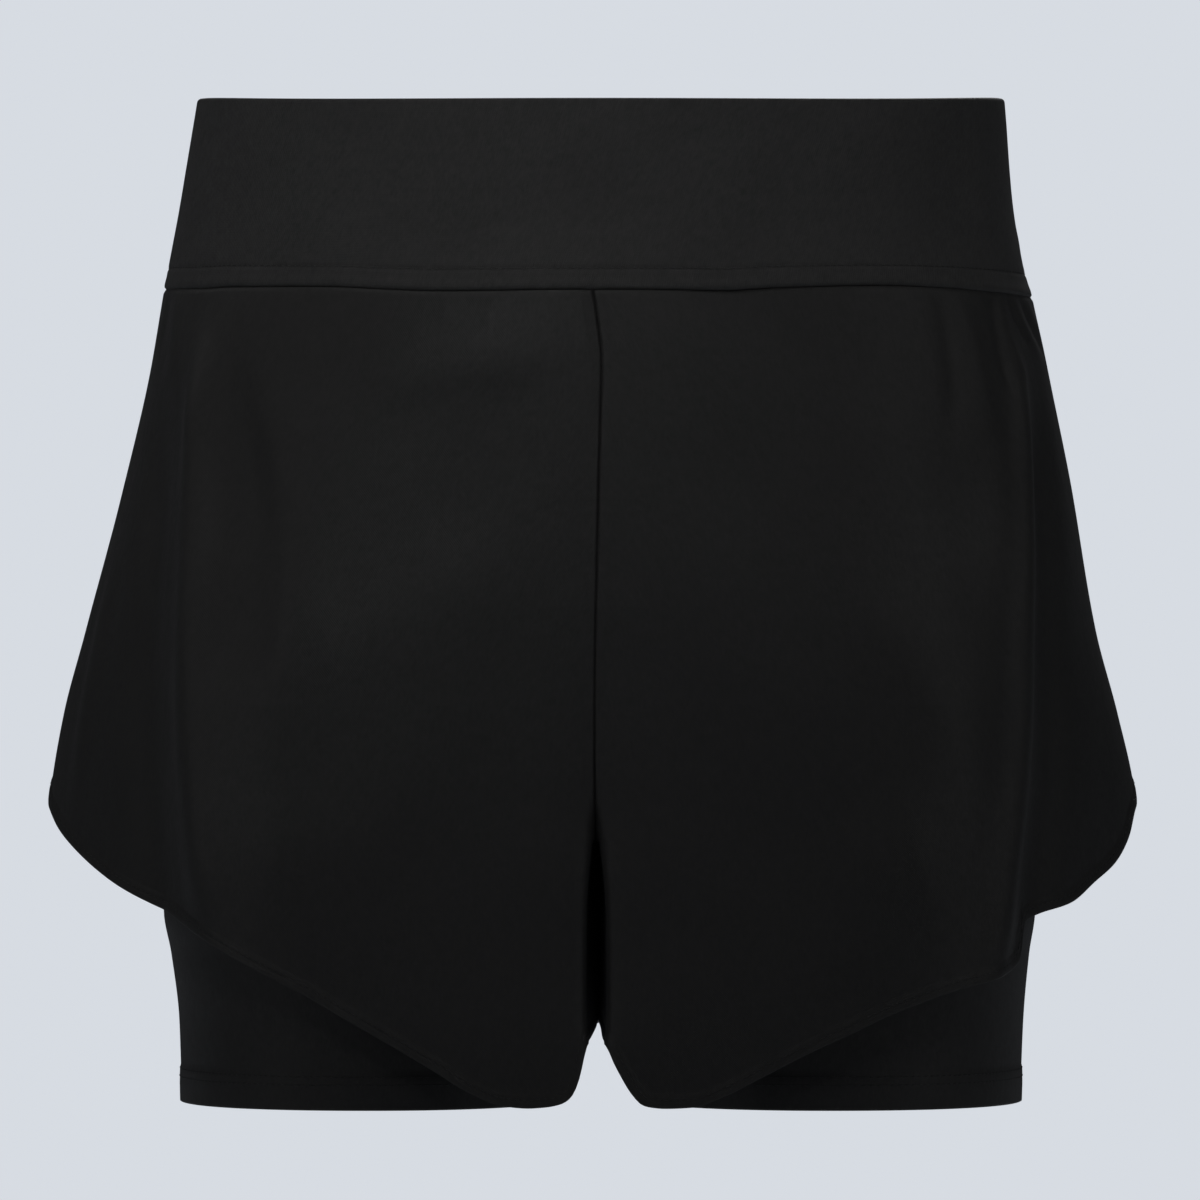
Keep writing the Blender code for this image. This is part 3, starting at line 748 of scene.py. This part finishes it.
SHELL_CREASES = {
    "front": {
        "left": (
            (0.057, 0.0726, 0.062, 0.1140, 0.0030, -0.0010, 0.003),
            (0.051, 0.0726, 0.050, 0.1060, 0.0034, 0.0006, 0.003),
            (0.046, 0.0726, 0.036, 0.0920, 0.0024, -0.0008, 0.002),
            (0.041, 0.0726, 0.024, 0.0970, 0.0028, 0.0005, 0.002),
            (0.035, 0.0726, 0.011, 0.0960, 0.0024, -0.0009, 0.002),
            (0.026, 0.0726, 0.012, 0.0860, 0.0026, 0.0004, 0.001),
            (0.088, 0.0735, 0.100, 0.1250, 0.0050, -0.0011, -0.002),
            (0.077, 0.0735, 0.084, 0.1250, 0.0050, 0.0007, -0.002),
            (0.092, 0.1250, 0.118, 0.2150, 0.0110, -0.0010, 0.002),
            (0.218, 0.2020, 0.174, 0.2320, 0.0150, 0.0009, 0.003),
            (0.228, 0.2570, 0.170, 0.2750, 0.0170, -0.0009, 0.003),
            (0.140, 0.2850, 0.180, 0.2950, 0.0240, 0.0018, 0.003),
            (0.124, 0.2550, 0.160, 0.1800, 0.0130, 0.0008, 0.005),
            (0.170, 0.0722, 0.169, 0.0830, 0.0024, 0.0002, 0.000),
            (0.182, 0.0722, 0.183, 0.0810, 0.0022, -0.0002, 0.000),
        ),
        "right": (
            (0.167, 0.0722, 0.165, 0.0830, 0.0024, 0.00025, 0.000),
            (0.174, 0.0722, 0.173, 0.0810, 0.0020, -0.00025, 0.000),
            (0.183, 0.0722, 0.184, 0.0850, 0.0024, 0.0003, 0.000),
            (0.192, 0.0722, 0.193, 0.0810, 0.0020, -0.00025, 0.000),
            (0.201, 0.0722, 0.203, 0.0830, 0.0022, 0.0002, 0.000),
            (0.036, 0.0730, 0.044, 0.1050, 0.0060, 0.0008, 0.002),
            (0.024, 0.0728, 0.026, 0.0960, 0.0044, -0.0006, 0.002),
            (0.150, 0.1150, 0.190, 0.0850, 0.0150, 0.0009, 0.004),
            (0.064, 0.0950, 0.098, 0.1900, 0.0070, 0.0012, 0.002),
            (0.088, 0.1000, 0.136, 0.2350, 0.0090, -0.0020, 0.008),
            (0.140, 0.0980, 0.208, 0.0960, 0.0150, 0.0017, 0.000),
            (0.150, 0.1920, 0.205, 0.1480, 0.0180, -0.0010, 0.004),
            (0.140, 0.2820, 0.200, 0.2860, 0.0280, 0.0024, 0.004),
            (0.024, 0.1750, 0.031, 0.2620, 0.0060, 0.0015, 0.001),
            (0.078, 0.1600, 0.092, 0.2600, 0.0100, -0.0008, 0.002),
        ),
    },
    "back": {
        "left": (
            (0.060, 0.0730, 0.050, 0.1050, 0.0050, 0.0010, 0.002),
            (0.040, 0.0730, 0.032, 0.1000, 0.0042, -0.0008, 0.002),
            (0.110, 0.0735, 0.120, 0.1150, 0.0080, 0.0009, -0.003),
            (0.180, 0.0727, 0.181, 0.0860, 0.0030, 0.0005, 0.000),
            (0.205, 0.2600, 0.292, 0.2420, 0.0110, -0.0013, 0.009),
            (0.190, 0.2850, 0.290, 0.2620, 0.0110, 0.0010, 0.008),
            (0.185, 0.3150, 0.285, 0.2950, 0.0130, -0.0009, 0.008),
            (0.130, 0.2350, 0.215, 0.2150, 0.0160, 0.0009, 0.007),
        ),
        "right": (
            (0.052, 0.0730, 0.046, 0.1020, 0.0046, 0.0010, 0.002),
            (0.070, 0.0735, 0.074, 0.1100, 0.0060, -0.0008, 0.002),
            (0.150, 0.0730, 0.158, 0.1000, 0.0070, 0.0007, -0.002),
            (0.190, 0.0727, 0.189, 0.0850, 0.0030, 0.0005, 0.000),
            (0.210, 0.2580, 0.294, 0.2400, 0.0110, -0.0012, 0.008),
            (0.186, 0.2900, 0.292, 0.2650, 0.0120, 0.0010, 0.009),
            (0.150, 0.2450, 0.230, 0.2200, 0.0150, -0.0009, 0.007),
        ),
    },
}
CREASE_FADE = 0.012  # creases fade out this far before the centre and inner leg seams
SHELL_SIDE_SEAM = (0.0006, 0.0010)
SHELL_CENTRE_SEAM = (0.0008, 0.0005)
SHELL_TOP_SEAM = (0.0006, 0.0008)
HEM_ROW = (0.0003, 0.0007)
SHELL_UNEVENNESS = (11, 0.075, 0.0003)  # its seed, and the size and height of its waves
SHELL_HELD = (0.04, 0.10)  # the shares of its width that its side and inner seams hold flat
# Its steps: round it as graded takes them, and down it as down_to does.
SHELL_STEPS = {"round": (180, 0.10, 0.12), "down": (112, 56, 0.15)}
SHELL_LEVELS = (420, 150)  # of its form, above and below the crotch
LEG_AXIS = 0.08  # a line inside each leg, at this distance from the centre
HEM_LINES = 9  # across the turned part of a hem
HEM_LAST_LINE = 0.02  # how near to the fold the last one is, as a share of the hem's width
HEM_ROUNDING = 8  # a higher power makes the turned part squarer
HEM_BITE = 0.0001  # it sits this deep in the cloth that it is sewn to
HEM_WALL = 0.0002  # its thickness at its sewn edge, and how much fuller it is nearer the fold
HEM_FULLNESS = 0.0004
# The small waves where the shell's two legs press on each other.
PRESS_HEIGHT = 0.0011
PRESS_LENGTHS = (0.0052, 0.011)  # going back, and going down
PRESS_REACH = (0.006, 0.030)  # to each side of the centre, and to its front and back
PRESS_SWAY = 1.3  # how far, in radians, they wander going down
PRESS_FADE = 0.020


def leg_section(sections, layer, crotch):
    """The section of a layer that forks into legs, as Form reads it."""

    def section(side, face, drop, angle):
        fork = eased((drop - FORK_STARTS) / (crotch - FORK_STARTS))
        gap = np.where(drop > crotch, table_value(GAP, LEG_GAPS, layer, drop - crotch), 0.0)
        x, y, angle = oval(sections, side, face, drop, angle, fork, gap)
        if layer == "shell":
            flare = table_value(FLARE, SHELL_FLARES, side, drop)
            x = x + flare * np.clip(1 - angle / FLARE_REACH, 0, 1) ** FLARE_POINT
            if face == "front":
                square = 1 - (1 - SLIT_SQUARE) * eased((drop - SQUARE_STARTS) / SQUARE_FADE)
                full = y.max(axis=-1, keepdims=True)
                y = np.where(angle > math.pi / 2, full * (y / full) ** square, y)
                opened = np.clip((y - y[..., -1:]) / SLIT_DEPTH, 0, 1) ** 2
                x = np.hypot(x, SLIT_WIDTH * eased((drop - SLIT_STARTS) / SLIT_FADE) * opened)
        return x, y

    return section


def fold_height(folds, share, drop):
    """How far the largest folds move the cloth out."""
    height = np.zeros(share.shape)
    for row in folds:
        fold = dict(zip(FOLD, row))
        run = (drop - fold["starts"]) / (fold["ends"] - fold["starts"])
        away = (share - fold["share"] - fold["drift"] * run) / fold["half_width"]
        fade = eased((drop - fold["starts"]) / fold["fade"])
        fade = fade * eased((fold["ends"] - drop) / fold["fade"])
        height += fold["depth"] * fade * bell(away, 1.0)
    return height


def hem_drop(side, share):
    """The drop of a shell panel's hem, from its rounded side corner to the inner leg seam."""
    return table_value(HEM, SHELL_HEM, side, share)


def distance_to(line, around, drop):
    """Distance of each place on a panel to a line across it, both in metres of cloth."""
    nearest = np.full(around.shape, np.inf)
    for a, d in line:
        nearest = np.minimum(nearest, (around - a) ** 2 + (drop - d) ** 2)
    return np.sqrt(nearest)


def turned_hem(name, host, outer, normal, edge, width, wall, material):
    """The edge of the cloth turned up against its inner face."""
    levels = width * np.linspace(1.0, HEM_LAST_LINE, HEM_LINES)
    lines = np.stack([line_at(outer, edge, level) for level in levels], axis=1)
    facing = np.stack([line_at(normal, edge, level) for level in levels], axis=1)
    run = np.linspace(1.0, 0.0, HEM_LINES)
    full = HEM_FULLNESS * np.sqrt(1 - run**HEM_ROUNDING)[None, :, None]
    near = lines - facing * (wall - HEM_BITE)
    far = near - facing * (full + HEM_WALL)
    step = np.linalg.norm(np.diff(lines[:, :1], axis=0, prepend=lines[:1, :1]), axis=-1)
    across = np.cumsum(step, axis=0)
    piece = cloth(name, near, far, across, levels[None, :], levels[None, :], material)
    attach(piece, "root")
    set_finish(piece, host["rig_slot"])
    return piece


def pressed_together(points, drop):
    """Where the two legs of the shell press on each other, their cloth is never quite flat."""
    x, y = points[..., 0], points[..., 1]
    back, down = PRESS_LENGTHS
    wave = np.sin(y / back + PRESS_SWAY * np.sin(drop / down)) * bell(y, PRESS_REACH[1])
    fade = eased((drop - SHELL_CROTCH) / PRESS_FADE)
    return PRESS_HEIGHT * wave * bell(x, PRESS_REACH[0]) * fade


def down_to(top, crotch, bottom, above, below, first=1.0):
    """Drops from the top to the bottom of a leg's form, in steps that close up on the crotch."""
    closest, last = 0.06, 0.3  # the steps beside the crotch and at the foot, against the others
    upper = top + (crotch - top) * graded(above, first, closest, over=12)
    lower = crotch + (bottom - crotch) * graded(below, closest, last, over=8)
    return np.concatenate([upper, lower[1:]])


def shell_panel(face, side, material):
    """One of the shell's four panels, from the band's foot to its hem."""
    top = BAND_HEIGHT + SEAM
    levels = down_to(top, SHELL_CROTCH, SHELL_SECTIONS[-1][0], *SHELL_LEVELS)
    form = Form(side, face, levels, leg_section(SHELL_SECTIONS, "shell", SHELL_CROTCH), bends=True)
    length = hem_drop(side, np.ones(1)) - top
    rows = down_to(top, SHELL_CROTCH, length[0] + top, *SHELL_STEPS["down"]) - top
    s, down = np.meshgrid(graded(*SHELL_STEPS["round"]), rows / length, indexing="ij")
    drop = top + (hem_drop(side, s) - top) * down
    around = form.read(form.around, s, drop)
    whole = form.read(form.around, np.ones_like(s), drop)
    edge = distance_to(np.stack([around[:, -1], drop[:, -1]], axis=-1), around, drop)
    free = eased(s / SHELL_HELD[0]) * eased((1 - s) / SHELL_HELD[1])
    height = fold_height(SHELL_FOLDS[face][side], s, drop) * free
    creases = crease_height(SHELL_CREASES[face][side], around, drop)
    height += creases * eased((whole - around) / CREASE_FADE)
    height += unevenness(around, drop, *SHELL_UNEVENNESS) * free
    height -= groove(SHELL_SIDE_SEAM, around) + groove(SHELL_CENTRE_SEAM, whole - around)
    height -= groove(SHELL_TOP_SEAM, drop - top)
    outer = form.place(s, drop, height)
    outer[..., 0] += pressed_together(outer, drop)
    normal = surface_normals(outer, (WEARER[side] * LEG_AXIS, 0, 0))
    raised = HEM_RAISE * eased((HEM_RAISE_ENDS - edge) / HEM_STEP)
    raised = raised - groove(HEM_ROW, edge - HEM_STITCH)
    outer = outer + normal * raised[..., None]
    inner = outer - normal * SHELL_WALL
    name = f"shell_{face}_{side}"
    piece = cloth(f"cloth_{name}", outer, inner, around, drop, edge, material)
    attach(piece, "root")
    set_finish(piece, "shell_weave")
    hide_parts(name)
    rows = [line_at(outer, edge, HEM_STITCH)]
    hem = [
        stitching(f"stitching_{name}", piece, rows, HEM_STITCH_PITCH, thread),
        turned_hem(
            f"turned_hem_{name}", piece, outer, normal, edge, HEM_WIDTH, SHELL_WALL, material
        ),
    ]
    width, length, area = SHELL_CUT[face][side]
    return piece


shell_cloth = cloth_material(
    "shell_weave",
    dark=(0.0074, 0.0072, 0.0070),
    light=(0.0147, 0.0144, 0.0140),
    # the edge colour: painted highlight and a little wear
    worn_and_highlit=(0.0190, 0.0186, 0.0181),
    rough=(0.48, 0.62),
    pitch=0.00042,
    loops=0.0,
    relief=0.00007,
    crinkle=0.00060,
    sheen=0.03,
)
for face in ("front", "back"):
    for side in ("left", "right"):
        shell_panel(face, side, shell_cloth)

# ------------------------------------------------------------------ inner shorts
# The real inner shorts are a smooth stretch knit, one piece a leg, joined at the centre front,
# the centre back and the inner leg. The leg hems are turned up and stitched.

INNER_WALL = 0.0010
INNER_CROTCH = 0.2650
INNER_HEM = 0.3750
INNER_HEM_WIDTH = 0.0135
INNER_HEM_STEP = 0.0010
INNER_STITCHES = (0.0123, 0.0093)  # above the hem
INNER_STITCH_PITCH = 0.0027
INNER_SEAM = (0.0006, 0.0012)
INNER_ROW = (0.0003, 0.0008)
INNER_UNEVENNESS = (17, 0.09, 0.0002)
INNER_HELD = 0.10  # the share of its width that each seam and the side hold flat
INNER_STEPS = {"round": (84, 1.0, 0.12), "down": (72, 60)}
INNER_LEVELS = (300, 120)
INNER_SECTIONS = (
    (0.0720, 0.1609, 0.1604, 0.1109, 0.1159, 2.12, 2.12, 2.12),
    (0.1100, 0.1612, 0.1612, 0.1118, 0.1220, 2.14, 2.14, 2.14),
    (0.1600, 0.1618, 0.1618, 0.1118, 0.1295, 2.18, 2.20, 2.20),
    (0.2000, 0.1625, 0.1625, 0.1098, 0.1310, 2.20, 2.20, 2.20),
    (0.2400, 0.1630, 0.1630, 0.1058, 0.1255, 2.20, 2.20, 2.20),
    (0.3040, 0.1630, 0.1634, 0.0985, 0.1090, 2.20, 2.20, 2.20),
    (0.3200, 0.1602, 0.1612, 0.0968, 0.1050, 2.20, 2.20, 2.20),
    (0.3450, 0.1572, 0.1590, 0.0945, 0.0990, 2.20, 2.20, 2.20),
    (0.3800, 0.1562, 0.1577, 0.0925, 0.0945, 2.20, 2.20, 2.20),
)


def inner_leg(side, material):
    """One leg of the inner shorts, a single piece from seam to seam round the leg."""
    top = BAND_HEIGHT + SEAM
    share = graded(*INNER_STEPS["round"])
    rows = down_to(top, INNER_CROTCH, INNER_HEM, *INNER_STEPS["down"])
    halves = []
    for face in ("front", "back"):
        levels = down_to(top, INNER_CROTCH, INNER_HEM, *INNER_LEVELS)
        form = Form(side, face, levels, leg_section(INNER_SECTIONS, "inner", INNER_CROTCH))
        s, drop = np.meshgrid(share, rows, indexing="ij")
        around = form.read(form.around, s, drop)
        whole = form.read(form.around, np.ones_like(s), drop)
        height = unevenness(around, drop, *INNER_UNEVENNESS)
        height *= eased(s / INNER_HELD) * eased((1 - s) / INNER_HELD)
        height -= groove(INNER_SEAM, whole - around)
        part = [form.place(s, drop, height), around, drop]
        halves.append([a[::-1] for a in part] if face == "front" else part)
    front, back = halves
    outer = np.concatenate([front[0], back[0][1:]])
    across = np.concatenate([-front[1], back[1][1:]])
    drop = np.concatenate([front[2], back[2][1:]])
    edge = INNER_HEM - drop
    normal = surface_normals(outer, (WEARER[side] * LEG_AXIS, 0, 0))
    raised = HEM_RAISE * eased((INNER_HEM_WIDTH - edge) / INNER_HEM_STEP)
    for row in INNER_STITCHES:
        raised = raised - groove(INNER_ROW, edge - row)
    outer = outer + normal * raised[..., None]
    inner = outer - normal * INNER_WALL
    piece = cloth(f"cloth_inner_{side}", outer, inner, across, drop, edge, material)
    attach(piece, "root")
    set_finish(piece, "inner_knit")
    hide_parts(f"inner_{side}")
    rows = [line_at(outer, edge, row) for row in INNER_STITCHES]
    name = f"turned_hem_inner_{side}"
    hem = [
        stitching(f"stitching_inner_{side}", piece, rows, INNER_STITCH_PITCH, thread),
        turned_hem(name, piece, outer, normal, edge, INNER_HEM_WIDTH, INNER_WALL, material),
    ]
    return piece


inner_cloth = cloth_material(
    "inner_knit",
    dark=(0.0080, 0.0078, 0.0076),
    light=(0.0155, 0.0152, 0.0148),
    # the edge colour: painted highlight and a little wear
    worn_and_highlit=(0.0214, 0.0210, 0.0204),
    rough=(0.50, 0.64),
    pitch=0.00050,
    loops=0.8,
    relief=0.00009,
    crinkle=0.00020,
    sheen=0.04,
)
for side in ("left", "right"):
    inner_leg(side, inner_cloth)

# ------------------------------------------------------------------ studio
# A pale floor well below the shorts and a pale surround. A soft light stands high on the front
# left, with weaker ones in front and at both sides, and one behind that lights the back.

MIDDLE = (0.0, 0.0, -0.15)  # of the shorts, which most of the lights face
LIGHT = ("name", "place", "aim", "size", "power", "spread")  # metres, watts and degrees
LIGHTS = (
    ("key", (-0.32, -0.55, 1.21), MIDDLE, 0.50, 3.40, 180),
    ("front", (-0.15, -1.30, 0.40), (-0.12, -0.10, -0.03), 0.40, 0.122, 30),
    ("left_front", (-1.22, -0.86, -0.02), MIDDLE, 0.50, 1.40, 180),
    ("right_front", (0.61, -1.06, 0.71), MIDDLE, 0.50, 0.77, 180),
    ("right_low", (1.22, -0.86, -0.02), MIDDLE, 0.50, 1.04, 180),
    ("left_side", (-1.19, 0.32, 0.71), MIDDLE, 0.50, 1.17, 180),
    ("right_side", (1.19, -0.32, 0.71), MIDDLE, 0.50, 1.23, 180),
    ("back", (0.25, 1.15, 0.95), (0.0, 0.0, -0.12), 0.80, 10.4, 180),
)
FLOOR_LEVEL = -1.2
FLOOR_REACH = 11.0
FLOOR_TONES = ((0.78, 0.82, 0.88, 1.0), (0.81, 0.85, 0.91, 1.0))
FLOOR_GLOW = 0.12
FLOOR_GLOW_SEEN = 0.70  # more, for the camera alone
SURROUND_TONE = (0.80, 0.84, 0.90, 1.0)
SURROUND_SEEN = 0.85  # how bright the surround is to the camera
SURROUND_LIGHTS = 0.03  # and to the shorts
EYE = (0.0004, -4.0, -0.1879)  # level with the middle of the shorts, as in the photograph
LENS = 320.0
SENSOR = 36.0


def soft_light(name, place, aim, size, power, spread):
    """A round soft light at a place, turned to face another."""
    light = bpy.data.lights.new(name, "AREA")
    light.shape, light.size, light.energy = "DISK", size, power
    light.spread = math.radians(spread)
    lamp = bpy.data.objects.new(name, light)
    lamp.location = place
    lamp.rotation_mode = "QUATERNION"
    lamp.rotation_quaternion = (Vector(aim) - Vector(place)).to_track_quat("-Z", "Y")
    bpy.context.scene.collection.objects.link(lamp)
    return lamp


bm = bmesh.new()
bmesh.ops.create_grid(bm, x_segments=1, y_segments=1, size=FLOOR_REACH)
bmesh.ops.translate(bm, verts=bm.verts[:], vec=(0, 0, FLOOR_LEVEL))
floor_mesh = bpy.data.meshes.new("floor")
bm.to_mesh(floor_mesh)
bm.free()
floor_paint, floor_shader, add = new_material("floor_paint")
grain = add("TexNoise", {"Vector": add("TexCoord", {})["Object"], "Scale": 3.0})[0]
tone = add("Mix", {0: grain, 6: FLOOR_TONES[0], 7: FLOOR_TONES[1]}, data_type="RGBA")[2]
seen = add("LightPath", {})["Is Camera Ray"]
glow = add("Math", {0: seen, 1: FLOOR_GLOW_SEEN, 2: FLOOR_GLOW}, operation="MULTIPLY_ADD")[0]
for key, value in (("Base Color", tone), ("Emission Color", tone), ("Emission Strength", glow)):
    floor_paint.node_tree.links.new(value, floor_shader.inputs[key])
floor_shader.inputs["Roughness"].default_value = 0.9
floor_mesh.materials.append(floor_paint)
floor = bpy.data.objects.new("floor", floor_mesh)
bpy.context.scene.collection.objects.link(floor)
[soft_light(**dict(zip(LIGHT, row))) for row in LIGHTS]

world = bpy.data.worlds.new("surround")
world.use_nodes = True
world.node_tree.nodes.remove(world.node_tree.nodes["Background"])
add = node_maker(world.node_tree)
shown = add("Background", {"Color": SURROUND_TONE, "Strength": SURROUND_SEEN})[0]
lights = add("Background", {"Color": SURROUND_TONE, "Strength": SURROUND_LIGHTS})[0]
seen = add("LightPath", {})["Is Camera Ray"]
surround = add("MixShader", {0: seen, 1: lights, 2: shown})[0]
world.node_tree.links.new(surround, world.node_tree.nodes["World Output"].inputs["Surface"])
bpy.context.scene.world = world

camera_data = bpy.data.cameras.new("camera")
camera_data.sensor_width = SENSOR
camera_data.lens = LENS
camera_data.clip_start, camera_data.clip_end = 0.1, 60.0
camera = bpy.data.objects.new("camera", camera_data)
camera.location = EYE
camera.rotation_euler = (math.radians(90), 0, 0)
bpy.context.scene.collection.objects.link(camera)
bpy.context.scene.camera = camera
bpy.context.scene.view_settings.view_transform = "Standard"
